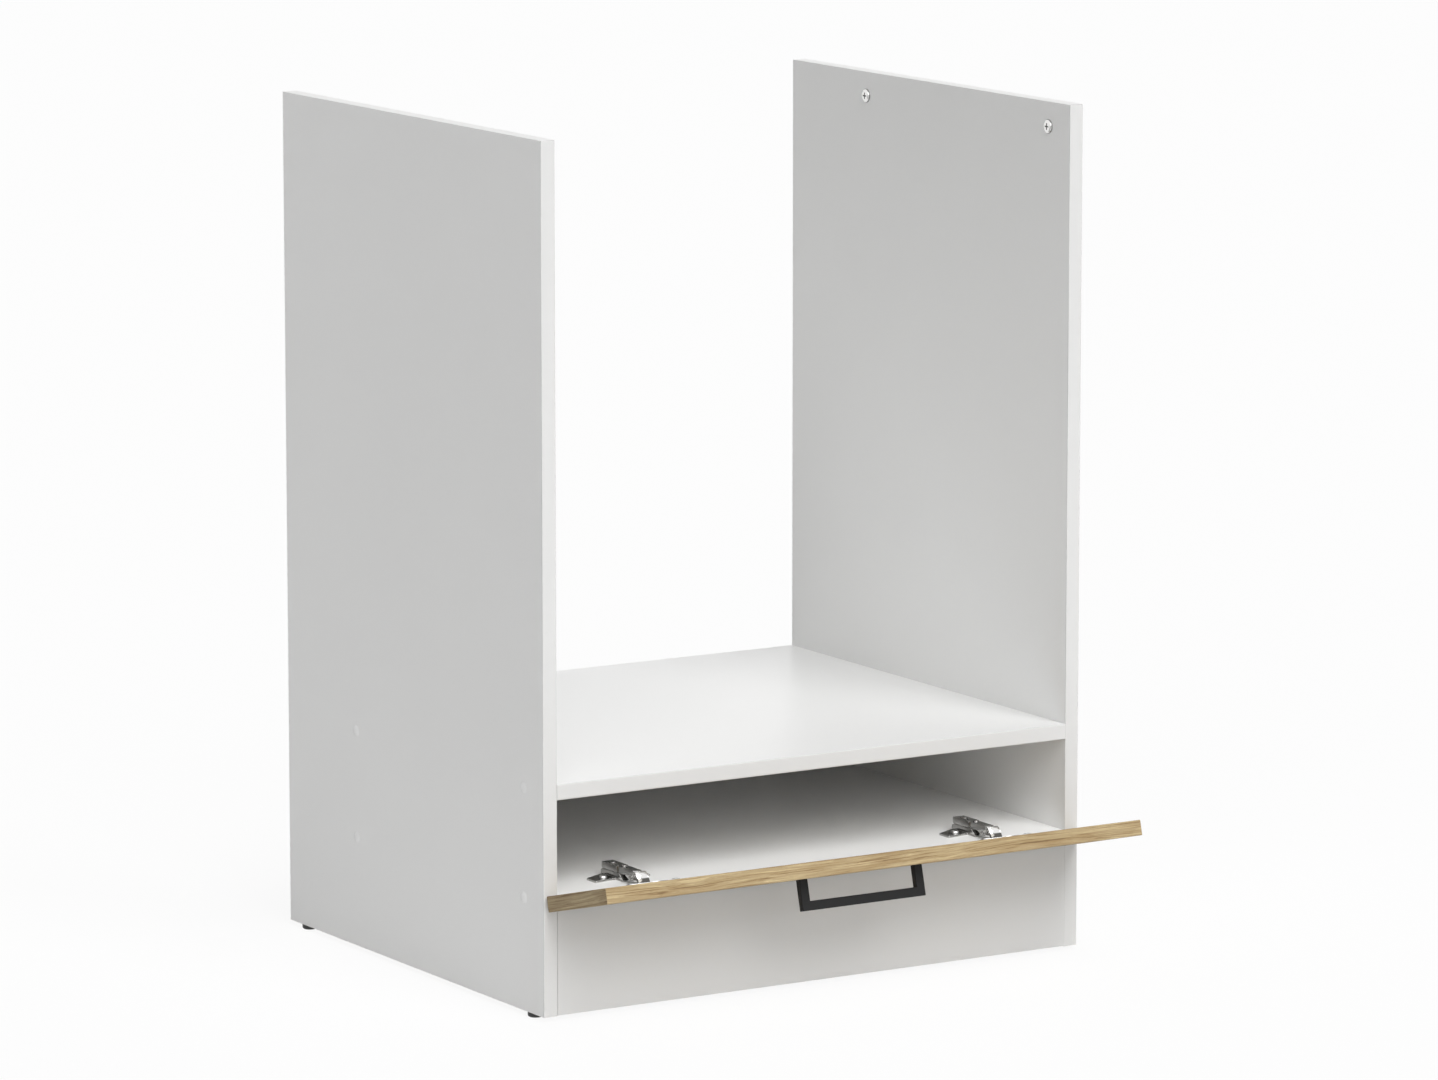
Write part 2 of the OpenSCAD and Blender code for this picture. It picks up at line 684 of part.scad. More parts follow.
module outer_link(s) {
    to_b = closed_at(pin_b_along, pin_b_deep) - pin_a;
    span = norm(to_b);
    web = back_curve(span, sheet_t, nose_from, 30);
    color([0.86, 0.86, 0.88]) place() translate([s * hinge_x, 0, 0]) outer_frame() difference() {
        union() {
            for (m = [-1, 1]) translate([m * (link_in + link_out) / 2, 0, 0]) across(sheet_t)
                rotate(atan2(to_b.y, to_b.x)) mirror([0, 1])
                    polygon(concat(back_curve(span, 0, 375, -190), hollow_curve(span)));
            across(2 * link_in + sheet_t) rotate(atan2(to_b.y, to_b.x)) mirror([0, 1])
                polygon(concat(back_curve(span, 0, nose_from, 30),
                    [for (i = [len(web) - 1:-1:0]) web[i]]));
        }
        rod([0, 0], pin_d + 2 * run, arm_w + 4);
        rod(to_b, pin_d + 2 * run, arm_w + 4);
    }
}

// Inner link: runs from the rear arm pin under pin A, over the rim of the cup and down to it
inner_half = cheek_in - 0.3;
inner_t = 1.5;

module inner_link(s) {
    e = flap_at(pin_e_along, pin_e_deep, design_angle);
    way = [for (p = [pin_a + [0.4, -4.2], e + [1, 5.8], e + [-0.6, 4.4], e + [-0.6, 2.35]])
        turn(p - pin_c, -inner_ratio * design_angle)];
    path = concat([[0, 0]], way);
    color([0.72, 0.72, 0.74]) place() translate([s * hinge_x, 0, 0]) inner_frame() difference() {
        union() {
            across(2 * inner_half) {
                for (i = [0:len(path) - 2]) bar_2d(path[i], path[i + 1], inner_t);
                for (i = [1:len(path) - 1]) translate(path[i]) circle(d = inner_t, $fn = 24);
            }
            rod([0, 0], pin_d + 2.6, 2 * inner_half);
        }
        rod([0, 0], pin_d + 2 * run, arm_w);
    }
}

module bar_2d(p, q, t) {
    translate(p) rotate(atan2(q.y - p.y, q.x - p.x)) translate([0, -t / 2])
        square([norm(q - p), t]);
}

// Flap front with its cups and handle, drawn closed: y is 0 on the inner face, z on the lower edge
module flap_front() {
    color([0.78, 0.66, 0.45]) place() flap_frame() difference() {
        translate([-flap_w / 2, 0, 0]) rotate([90, 0, 90]) linear_extrude(flap_w)
            polygon(concat(arc([-edge_r, edge_r], edge_r, -90, 0, 4),
                arc([-edge_r, flap_h - edge_r], edge_r, 0, 90, 4),
                arc([edge_r - flap_t, flap_h - edge_r], edge_r, 90, 180, 4),
                arc([edge_r - flap_t, edge_r], edge_r, 180, 270, 4)));
        both_sides() {
            translate([0, 1, cup_up]) rotate([90, 0, 0])
                cylinder(d = cup_d, h = cup_depth + play + 1, $fn = 96);
            cup_screw_places() translate([0, 1, 0]) rotate([90, 0, 0])
                cylinder(d = cup_screw_d + 2 * fit, h = cup_screw_l + 1, $fn = 20);
        }
        handle_screw_places() translate([0, 1, 0]) rotate([90, 0, 0]) {
            cylinder(d = handle_screw_d + 0.6, h = flap_t + 2, $fn = 24);
            cylinder(d = handle_screw_head.x + 0.6, h = handle_screw_sink + 1, $fn = 32);
        }
    }
}

module cup_screw_places() {
    for (s = [-1, 1]) translate([s * cup_screw_pitch / 2, 0, cup_up + cup_screw_up]) children();
}

module hinge_cup(s) {
    color(steel) place() flap_frame() translate([s * hinge_x, 0, 0]) difference() {
        union() {
            translate([0, fit + eps, cup_up]) rotate([90, 0, 0])
                cylinder(d = cup_d - 0.2, h = cup_depth + fit + eps, $fn = 96);
            translate([0, fit, 0]) rotate([90, 0, 180]) linear_extrude(flange_t) flange_outline();
        }
        intersection() {
            translate([0, 5, cup_up]) rotate([90, 0, 0])
                cylinder(r = bowl_r, h = pocket_floor + 5, $fn = 96);
            union() {
                translate([-pocket_r, -20, 0]) cube([2 * pocket_r, 30, pocket_end + 1]);
                translate([-30, -20, pocket_end]) cube([60, 30, 40]);
            }
        }
        rod([-pin_b_deep, pin_b_along], pin_d + 2 * fit, 2 * (pocket_r + 2.2));
        rod([-pin_e_deep, pin_e_along], pin_d + 2 * fit - 0.2, 2 * (pocket_r + 1.6));
        cup_screw_places() translate([0, 5, 0]) rotate([90, 0, 0])
            cylinder(d = cup_screw_d + 1.4, h = cup_depth, $fn = 24);
    }
}

// Flange of the cup: a ring cut straight towards the hinge edge, with an ear for each screw
module flange_outline() {
    ear_r = 5;
    ring_r = cup_d / 2 + 1.6;
    ear_x = cup_screw_pitch / 2;
    ear_z = cup_up + cup_screw_up;
    cut = asin((cup_up - flange_low) / ring_r);
    polygon(concat(arc([0, cup_up], ring_r, 205, 180 + cut, 8),
        arc([0, cup_up], ring_r, 360 - cut, 335, 8),
        arc([ear_x, ear_z], ear_r, -75, 75, 8), arc([0, cup_up], ring_r, 50, 130, 12),
        arc([-ear_x, ear_z], ear_r, 105, 255, 8)));
}

module cup_screws() {
    color(steel) place() flap_frame() both_sides() cup_screw_places()
        translate([0, flange_t + 2 * fit, 0]) rotate([90, 0, 0]) difference() {
            pan_screw(cup_screw_d, cup_screw_l, cup_screw_head);
            translate([0, 0, -cup_screw_head.y]) cross_recess(cup_screw_socket);
        }
}

module cup_pins() {
    color(steel) place() flap_frame() both_sides() {
        rod([-pin_b_deep, pin_b_along], pin_d, 2 * (pocket_r + 2));
        rod([-pin_e_deep, pin_e_along], pin_d - 0.2, 2 * (pocket_r + 1.4));
    }
}

module handle_screw_places() {
    for (s = [-1, 1]) translate([s * handle_pitch / 2, 0, handle_up]) children();
}

module handle() {
    w = handle_pitch + handle_bar_w;
    color([0.05, 0.05, 0.05]) place() flap_frame() difference() {
        translate([0, -flap_t, handle_up - handle_bar_d / 2]) linear_extrude(handle_bar_d)
            difference() {
                polygon([[-w / 2, 0], [-w / 2, 0.6 - handle_rise], [0.6 - w / 2, -handle_rise],
                    [w / 2 - 0.6, -handle_rise], [w / 2, 0.6 - handle_rise], [w / 2, 0]]);
                translate([handle_bar_w - w / 2, handle_bar_w - handle_rise])
                    square([w - 2 * handle_bar_w, handle_rise]);
            }
        handle_screw_places() translate([0, 1 - flap_t, 0]) rotate([90, 0, 0])
            cylinder(d = handle_screw_d + 2 * fit, h = handle_screw_bite + 2, $fn = 24);
    }
}

module handle_screws() {
    color(steel) place() flap_frame() handle_screw_places()
        translate([0, fit - handle_screw_sink, 0]) rotate([90, 0, 0]) difference() {
            pan_screw(handle_screw_d, flap_t - handle_screw_sink + handle_screw_bite,
                handle_screw_head);
            translate([0, 0, -handle_screw_head.y]) cross_recess(handle_screw_socket);
        }
}

color(white) place() side_panel(-1);  // side_panel_left
color(white) place() side_panel(1);  // side_panel_right
oven_shelf();
bottom_panel();
plinth_board();
back_panel();
back_nails();
wood_dowels();
carcass_screws();
cover_caps();
feet();
foot_nails();
plinth_brackets();
bracket_screws();
connector_screws();
connector_sleeves();
mounting_plate(-1);  // mounting_plate_left
mounting_plate(1);  // mounting_plate_right
plate_screws();
hinge_arm(-1);  // hinge_arm_left
hinge_arm(1);  // hinge_arm_right
arm_pins();
depth_screws();
overlay_screws();
outer_link(-1);  // outer_link_left
outer_link(1);  // outer_link_right
inner_link(-1);  // inner_link_left
inner_link(1);  // inner_link_right
flap_front();
hinge_cup(-1);  // hinge_cup_left
hinge_cup(1);  // hinge_cup_right
cup_screws();
cup_pins();
handle();
handle_screws();
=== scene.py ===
# The oven housing cabinet, dressed for its photograph: white laminate with a fine pearl and
# banded edges, raw chipboard where the boards are cut, an oak decor flap, a powder-coated bow
# handle and nickel-plated hinges. All lengths are metres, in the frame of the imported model.
import json
import math
import bmesh
import bpy
import numpy as np
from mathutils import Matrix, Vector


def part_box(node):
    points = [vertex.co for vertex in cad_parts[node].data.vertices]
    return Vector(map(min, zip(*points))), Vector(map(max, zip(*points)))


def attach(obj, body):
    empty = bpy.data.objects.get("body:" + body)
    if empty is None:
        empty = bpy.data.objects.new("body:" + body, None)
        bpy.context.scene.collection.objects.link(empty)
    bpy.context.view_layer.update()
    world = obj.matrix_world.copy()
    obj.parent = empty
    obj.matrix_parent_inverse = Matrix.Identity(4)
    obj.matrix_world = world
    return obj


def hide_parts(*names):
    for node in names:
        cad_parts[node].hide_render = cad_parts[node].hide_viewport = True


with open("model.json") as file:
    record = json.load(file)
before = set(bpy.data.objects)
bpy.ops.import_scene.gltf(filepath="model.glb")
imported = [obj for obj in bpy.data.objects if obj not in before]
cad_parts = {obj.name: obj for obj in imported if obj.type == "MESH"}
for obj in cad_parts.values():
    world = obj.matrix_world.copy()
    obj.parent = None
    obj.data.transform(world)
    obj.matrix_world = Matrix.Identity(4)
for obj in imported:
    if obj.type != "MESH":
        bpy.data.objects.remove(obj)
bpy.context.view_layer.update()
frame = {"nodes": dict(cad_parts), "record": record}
nodes = frame["nodes"]
bodyOf = {n: body for body, members in frame["record"]["behaviour"]["bodies"].items()
          for n in members}
mm = 0.001
print("frame loaded with", len(nodes), "nodes")

# Camera
shot = {
    "place": (-3.69011, -6.05342, 1.59407),
    "pitch": -9.5332,    # degrees below the horizon
    "yaw": -31.4383,     # degrees from +Y towards +X
    "lens": 185.973,     # mm on a 36 mm sensor
}
cameraData = bpy.data.cameras.new("photoCamera")
cameraData.sensor_width = 36
cameraData.lens = shot["lens"]
cameraData.clip_end = 300
camera = bpy.data.objects.new("photoCamera", cameraData)
camera.location = shot["place"]
camera.rotation_euler = (math.radians(90 + shot["pitch"]), 0, math.radians(shot["yaw"]))
bpy.context.scene.collection.objects.link(camera)
bpy.context.scene.camera = camera
bpy.context.scene.view_settings.view_transform = "Standard"
print("camera set")


# Shorthand for shader trees: put() adds a node, wire() joins two sockets
def put(tree, kind, values=None, **settings):
    made = tree.nodes.new("ShaderNode" + kind)
    for key, value in settings.items():
        setattr(made, key, value)
    for key, value in (values or {}).items():
        made.inputs[key].default_value = value
    return made


def wire(tree, source, target):
    tree.links.new(source, target)


# One Math node; a and b are sockets or numbers
def calc(tree, operation, a, b=None, c=None, clamp=False):
    made = put(tree, "Math", operation=operation, use_clamp=clamp)
    for place, value in enumerate((a, b, c)):
        if value is None:
            continue
        if isinstance(value, (int, float)):
            made.inputs[place].default_value = value
        else:
            wire(tree, value, made.inputs[place])
    return made.outputs[0]


# One colour mix; factor, a and b are sockets or values
def mixColors(tree, factor, a, b, mode="MIX"):
    made = put(tree, "Mix", data_type="RGBA", blend_type=mode)
    for place, value in ((0, factor), (6, a), (7, b)):
        if isinstance(value, bpy.types.NodeSocket):
            wire(tree, value, made.inputs[place])
        elif place == 0:
            made.inputs[place].default_value = value
        else:
            made.inputs[place].default_value = (*value, 1)
    return made.outputs[2]


# A vector stretched by three factors
def stretch(tree, vector, factors):
    made = put(tree, "VectorMath", operation="MULTIPLY")
    made.inputs[1].default_value = factors
    wire(tree, vector, made.inputs[0])
    return made.outputs[0]


def noise(tree, vector, scale, detail=2.0, roughness=0.5):
    made = put(tree, "TexNoise", {"Scale": scale, "Detail": detail, "Roughness": roughness})
    wire(tree, vector, made.inputs["Vector"])
    return made.outputs["Factor"] if "Factor" in made.outputs else made.outputs["Fac"]


def ramp(tree, factor, stops):
    made = put(tree, "ValToRGB")
    line = made.color_ramp.elements
    while len(line) > 1:
        line.remove(line[-1])
    line[0].position, line[0].color = stops[0][0], (*stops[0][1], 1)
    for place, color in stops[1:]:
        line.new(place).color = (*color, 1)
    wire(tree, factor, made.inputs[0])
    return made.outputs[0]


# A smooth step of a value between two levels
def step(tree, value, low, high):
    made = put(tree, "MapRange", {"From Min": low, "From Max": high},
               interpolation_type="SMOOTHSTEP")
    wire(tree, value, made.inputs["Value"])
    return made.outputs[0]


def newGroup(name, inputs, outputs):
    tree = bpy.data.node_groups.new(name, "ShaderNodeTree")
    for direction, sockets in (("INPUT", inputs), ("OUTPUT", outputs)):
        for label, kind in sockets:
            tree.interface.new_socket(name=label, in_out=direction,
                                      socket_type="NodeSocket" + kind)
    return tree, tree.nodes.new("NodeGroupInput"), tree.nodes.new("NodeGroupOutput")


def useGroup(tree, group, vector, values=None):
    made = tree.nodes.new("ShaderNodeGroup")
    made.node_tree = group
    wire(tree, vector, made.inputs["Vector"])
    for key, value in (values or {}).items():
        made.inputs[key].default_value = value
    return made


pearl = {
    "fine": 3.1,            # how many fine bumps to a coarse one
    "shares": (0.7, 0.3),   # of the coarse and the fine bumps
    "mottle": 7.0,          # clouds per metre in the tone
}


# Pearl: a fine orange peel, two noises a millimetre and a few tenths across
def makePearl():
    tree, start, end = newGroup("pearlSkin", [("Vector", "Vector"), ("Grain", "Float")],
                                [("Height", "Float"), ("Mottle", "Float")])
    sized = put(tree, "VectorMath", operation="SCALE")
    wire(tree, start.outputs["Vector"], sized.inputs[0])
    wire(tree, start.outputs["Grain"], sized.inputs["Scale"])
    coarse = noise(tree, sized.outputs[0], 1.0, 1.0)
    fine = noise(tree, sized.outputs[0], pearl["fine"], 2.0)
    both = calc(tree, "ADD", calc(tree, "MULTIPLY", coarse, pearl["shares"][0]),
                calc(tree, "MULTIPLY", fine, pearl["shares"][1]))
    wire(tree, both, end.inputs["Height"])
    wire(tree, noise(tree, start.outputs["Vector"], pearl["mottle"], 3.0), end.inputs["Mottle"])
    return tree


chipboard = {
    "flakes": (520.0, 1500.0),   # coarse and fine flakes per metre
    "shares": (0.6, 0.4),
    "stops": [(0.0, (0.34, 0.225, 0.115)), (0.35, (0.53, 0.4, 0.235)),
              (0.7, (0.65, 0.52, 0.33)), (1.0, (0.77, 0.66, 0.47))],
    "gap": (0.45, 0.85),         # from where to where between flakes it darkens
    "gapShare": 0.4,
    "gapColor": (0.22, 0.145, 0.08),
}


# Chipboard: flakes are Voronoi cells of two sizes with a random tone each, dark gaps between
def makeChipboard():
    tree, start, end = newGroup("rawChipboard", [("Vector", "Vector")],
                                [("Color", "Color"), ("Height", "Float")])
    vector = start.outputs["Vector"]
    coarse, fine = (put(tree, "TexVoronoi", {"Scale": scale, "Randomness": 1.0})
                    for scale in chipboard["flakes"])
    for cells in (coarse, fine):
        wire(tree, vector, cells.inputs["Vector"])
    split = [put(tree, "SeparateColor") for _ in range(2)]
    wire(tree, coarse.outputs["Color"], split[0].inputs[0])
    wire(tree, fine.outputs["Color"], split[1].inputs[0])
    tone = calc(tree, "ADD", calc(tree, "MULTIPLY", split[0].outputs[0], chipboard["shares"][0]),
                calc(tree, "MULTIPLY", split[1].outputs[1], chipboard["shares"][1]))
    flakes = ramp(tree, tone, chipboard["stops"])
    gaps = step(tree, coarse.outputs["Distance"], *chipboard["gap"])
    wire(tree, mixColors(tree, calc(tree, "MULTIPLY", gaps, chipboard["gapShare"]), flakes,
                         chipboard["gapColor"]), end.inputs["Color"])
    wire(tree, calc(tree, "SUBTRACT", tone, gaps), end.inputs["Height"])
    return tree


oak = {
    "bendScale": (3.0, 6.0, 6.0), "bend": (0.0, 0.022, 0.022),
    "ringsY": 75.0, "ringsZ": 95.0, "sway": 8.0,     # growth rings per metre, and how they sway
    "swayScale": (3.5, 16.0, 16.0),
    "late": (0.45, 0.85), "lateEnd": (0.9, 1.0),     # where a ring darkens and where it ends
    "lines": (11.0, 820.0, 820.0), "streaks": (10.0, 300.0, 300.0),
    "blotches": (9.0, 40.0, 40.0), "fibres": (70.0, 1700.0, 1700.0),
    "lightLines": (0.45, 0.36), "darkLines": (0.54, 0.61), "soft": (0.3, 0.7),
    "pores": (150.0, 2300.0, 2300.0), "poreFrom": (0.6, 0.72),
    "poreColor": (0.2, 0.12, 0.055), "poreShare": 0.4,
    "base": 0.27,                                    # tone before the shares below are added
    "streakShare": 0.2, "blotchShare": 0.16, "fibreShare": 0.16,
    "lightShare": 0.13, "darkShare": -0.27, "ringShare": -0.1,
    "stops": [(0.06, (0.17, 0.1, 0.043)), (0.34, (0.3, 0.208, 0.098)),
              (0.54, (0.385, 0.293, 0.16)), (0.86, (0.63, 0.505, 0.29))],
}


# Oak decor, grain along the first axis: long dark and light lines that a slow noise bends, over
# streaks, blotches and fibres, with growth rings and short pores
def makeOak():
    tree, start, end = newGroup("oakDecor", [("Vector", "Vector")],
                                [("Color", "Color"), ("Height", "Float"), ("Tone", "Float")])
    slow = put(tree, "TexNoise", {"Scale": 1.0, "Detail": 4.0, "Roughness": 0.45})
    wire(tree, stretch(tree, start.outputs["Vector"], oak["bendScale"]), slow.inputs["Vector"])
    bent = put(tree, "VectorMath", operation="MULTIPLY_ADD")
    bent.inputs[1].default_value = oak["bend"]
    wire(tree, slow.outputs["Color"], bent.inputs[0])
    wire(tree, start.outputs["Vector"], bent.inputs[2])
    vector = bent.outputs[0]
    axes = put(tree, "SeparateXYZ")
    wire(tree, vector, axes.inputs[0])
    sway = noise(tree, stretch(tree, vector, oak["swayScale"]), 1.0, 3.0, 0.55)
    phase = calc(tree, "ADD", calc(tree, "MULTIPLY", axes.outputs[1], oak["ringsY"]),
                 calc(tree, "ADD", calc(tree, "MULTIPLY", axes.outputs[2], oak["ringsZ"]),
                      calc(tree, "MULTIPLY", sway, oak["sway"])))
    ring = calc(tree, "FRACT", phase)
    late = calc(tree, "MULTIPLY", step(tree, ring, *oak["late"]),
                calc(tree, "SUBTRACT", 1.0, step(tree, ring, *oak["lateEnd"])))
    lines = noise(tree, stretch(tree, vector, oak["lines"]), 1.0, 3.0, 0.6)
    streak = noise(tree, stretch(tree, vector, oak["streaks"]), 1.0, 4.0, 0.62)
    blotch = noise(tree, stretch(tree, vector, oak["blotches"]), 1.0, 3.0, 0.5)
    fibre = noise(tree, stretch(tree, vector, oak["fibres"]), 1.0, 2.0, 0.6)
    pore = step(tree, noise(tree, stretch(tree, vector, oak["pores"]), 1.0, 1.0),
                *oak["poreFrom"])
    parts = [  # mask, share of the tone
        (step(tree, streak, *oak["soft"]), oak["streakShare"]),
        (step(tree, blotch, *oak["soft"]), oak["blotchShare"]), (fibre, oak["fibreShare"]),
        (step(tree, lines, *oak["lightLines"]), oak["lightShare"]),
        (step(tree, lines, *oak["darkLines"]), oak["darkShare"]), (late, oak["ringShare"]),
    ]
    tone = oak["base"]
    for mask, share in parts:
        tone = calc(tree, "ADD", calc(tree, "MULTIPLY", mask, share), tone)
    wood = ramp(tree, tone, oak["stops"])
    pits = calc(tree, "MULTIPLY", pore, oak["poreShare"])
    wire(tree, mixColors(tree, pits, wood, oak["poreColor"]), end.inputs["Color"])
    wire(tree, calc(tree, "SUBTRACT", calc(tree, "MULTIPLY", fibre, 0.5), pore),
         end.inputs["Height"])
    wire(tree, tone, end.inputs["Tone"])
    return tree


sheet = {
    "rolling": (4200.0, 160.0, 4200.0),   # lines per metre along each axis
    "shares": (0.7, 0.3),                 # of the clouds and the rolling lines
    "shade": 0.86,                        # the darkest tone, as a share of the tint
}


# Plated sheet: a cloudy tone and faint rolling lines along one axis
def makeMetal():
    tree, start, end = newGroup("platedSheet", [("Vector", "Vector"), ("Cloud", "Float")],
                                [("Tone", "Float"), ("Height", "Float")])
    sized = put(tree, "VectorMath", operation="SCALE")
    wire(tree, start.outputs["Vector"], sized.inputs[0])
    wire(tree, start.outputs["Cloud"], sized.inputs["Scale"])
    cloud = noise(tree, sized.outputs[0], 1.0, 4.0, 0.6)
    lines = noise(tree, stretch(tree, start.outputs["Vector"], sheet["rolling"]), 1.0, 2.0)
    both = calc(tree, "ADD", calc(tree, "MULTIPLY", cloud, sheet["shares"][0]),
                calc(tree, "MULTIPLY", lines, sheet["shares"][1]))
    wire(tree, both, end.inputs["Tone"])
    wire(tree, lines, end.inputs["Height"])
    return tree


pearlGroup, chipGroup, oakGroup, metalGroup = makePearl(), makeChipboard(), makeOak(), makeMetal()
print("shader groups made")


# A new material: its tree, its Principled shader and its Object coordinates
def newMaterial(name, values):
    material = bpy.data.materials.new(name)
    material.use_nodes = True
    tree = material.node_tree
    shader = tree.nodes["Principled BSDF"]
    for key, value in values.items():
        shader.inputs[key].default_value = value
    return material, tree, shader, put(tree, "TexCoord").outputs["Object"]


def bump(tree, shader, height, strength, distance):
    made = put(tree, "Bump", {"Strength": strength, "Distance": distance})
    wire(tree, height, made.inputs["Height"])
    wire(tree, made.outputs[0], shader.inputs["Normal"])


def spread(tree, value, low, high):
    made = put(tree, "MapRange", {"To Min": low, "To Max": high})
    wire(tree, value, made.inputs["Value"])
    return made.outputs[0]


laminate = {
    "white": (0.88, 0.88, 0.872),
    "mottle": (0.985, 1.012),
    "roughness": (0.3, 0.38),
    "grain": 950.0,      # pearl bumps per metre
    "relief": 0.05,
    "band": 1.0 * mm,    # thickness of the glued edge band
    "seam": 0.09 * mm,   # half width of the glue line beside it
    "glue": (0.42, 0.41, 0.39), "glueShare": 0.3,
    "bandGreyAndShade": 0.74,    # the band is a slightly greyer white than the faces, and painted shade that tones down the brightly lit front edges
    "insideLight": 1.05,  # painted light: the bottom of the compartment is a lighter white, where little light reaches
    # painted shade: the plinth is a darker white, for the shadow the flap casts on it
    "plinthShade": 0.71,
    "skin": 0.04 * mm,   # how near to a cut face its chipboard shows
    "chipRelief": 6.0, "chipRough": 0.85,
}


# White laminate. A seam is (axis, plane): below the plane lies the band, and the glue line along
# it. A cut is (axis, side, plane), and chipboard shows on that side of the plane.
def makeLaminate(name, seams=(), cuts=(), tone=1.0):
    material, tree, shader, place = newMaterial(name, {"Specular IOR Level": 0.45})
    peel = useGroup(tree, pearlGroup, place, {"Grain": laminate["grain"]})
    axes = put(tree, "SeparateXYZ")
    wire(tree, place, axes.inputs[0])
    low, high = (tuple(m * tone * c for c in laminate["white"]) for m in laminate["mottle"])
    color = mixColors(tree, peel.outputs["Mottle"], low, high)
    # the band colour: a greyer white, and painted shade on the lit front edges
    bandGreyShadedColor = tuple(laminate["bandGreyAndShade"] * c for c in laminate["white"])
    for axis, plane in seams:
        band = calc(tree, "LESS_THAN", axes.outputs[axis], plane)
        color = mixColors(tree, band, color, bandGreyShadedColor)
        off = calc(tree, "ABSOLUTE", calc(tree, "SUBTRACT", axes.outputs[axis], plane))
        line = calc(tree, "LESS_THAN", off, laminate["seam"])
        color = mixColors(tree, calc(tree, "MULTIPLY", line, laminate["glueShare"]), color,
                          laminate["glue"])
    height = peel.outputs["Height"]
    rough = spread(tree, peel.outputs["Mottle"], *laminate["roughness"])
    if cuts:
        raw = None
        for axis, side, plane in cuts:
            one = calc(tree, "GREATER_THAN" if side > 0 else "LESS_THAN", axes.outputs[axis],
                       plane - side * laminate["skin"])
            raw = one if raw is None else calc(tree, "MAXIMUM", raw, one)
        chips = useGroup(tree, chipGroup, place)
        color = mixColors(tree, raw, color, chips.outputs["Color"])
        relief = calc(tree, "MULTIPLY", chips.outputs["Height"], laminate["chipRelief"])
        height = calc(tree, "ADD", height, calc(tree, "MULTIPLY", raw, relief))
        rough = calc(tree, "MAXIMUM", rough,
                     calc(tree, "MULTIPLY", raw, laminate["chipRough"]))
    wire(tree, color, shader.inputs["Base Color"])
    wire(tree, rough, shader.inputs["Roughness"])
    bump(tree, shader, height, laminate["relief"], 0.2 * mm)
    return material


def dress(name, material):
    for slot in nodes[name].material_slots:
        slot.material = material


sideLow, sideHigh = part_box("side_panel_left")
frontY, rearY, footZ = sideLow[1], sideHigh[1], sideLow[2]
frontSeam, rearCut, lowerCut = (1, frontY + laminate["band"]), (1, 1, rearY), (2, -1, footZ)
sideWhite = makeLaminate("whiteLaminateSides", [frontSeam], [rearCut, lowerCut])
boardWhite = makeLaminate("whiteLaminateBoards", [frontSeam], [rearCut])
# painted light: the compartment bottom is a lighter white than the other boards
insideLitWhite = makeLaminate("whiteLaminateInsideLit", [frontSeam], [rearCut], laminate["insideLight"])
# painted shade: the plinth is a darker white than the other boards
plinthShadedWhite = makeLaminate("whiteLaminatePlinthShaded", tone=laminate["plinthShade"])
for name in ("side_panel_left", "side_panel_right"):
    dress(name, sideWhite)
dress("oven_shelf", boardWhite)
dress("bottom_panel", insideLitWhite)
dress("plinth_board", plinthShadedWhite)
print("boards dressed")

# The back panel: painted white inside, brown and felted outside and on its edges
fibreboard = {
    "paint": 0.5 * mm,
    "white": (0.93, 0.93, 0.92),
    "brown": ((0.27, 0.17, 0.092), (0.43, 0.29, 0.17)), "soft": (0.3, 0.7),
    "grain": 1400.0,                 # bumps per metre in the paint
    "felt": (260.0, 900.0, 420.0),   # fibres per metre along each axis
    "rough": 0.8, "sheen": 0.35,     # how rough the felt is, and by how much less the paint
}


def makeFibreboard():
    material, tree, shader, place = newMaterial("fibreboardBack", {"Specular IOR Level": 0.3})
    peel = useGroup(tree, pearlGroup, place, {"Grain": fibreboard["grain"]})
    axes = put(tree, "SeparateXYZ")
    wire(tree, place, axes.inputs[0])
    felt = noise(tree, stretch(tree, place, fibreboard["felt"]), 1.0, 5.0, 0.7)
    brown = mixColors(tree, step(tree, felt, *fibreboard["soft"]), *fibreboard["brown"])
    inside = calc(tree, "LESS_THAN", axes.outputs[1],
                  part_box("back_panel")[0][1] + fibreboard["paint"])
    wire(tree, mixColors(tree, inside, brown, fibreboard["white"]), shader.inputs["Base Color"])
    sheen = calc(tree, "MULTIPLY", inside, fibreboard["sheen"])
    wire(tree, calc(tree, "SUBTRACT", fibreboard["rough"], sheen), shader.inputs["Roughness"])
    bump(tree, shader, calc(tree, "ADD", peel.outputs["Height"], felt), 0.12, 0.2 * mm)
    return material


dress("back_panel", makeFibreboard())

# The flap: its own axes lie along the board, so the oak is mapped turned by the open angle
flap = {
    "angle": 75.5,       # degrees open in the photograph
    "edge": 0.15 * mm,   # how near to the ends their own band of decor shows
    # painted shade: the ends, which face the sides, are darkened to this share
    "endShade": 0.88,
    "rough": (0.62, 0.42),
}
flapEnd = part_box("flap_front")[1][0]


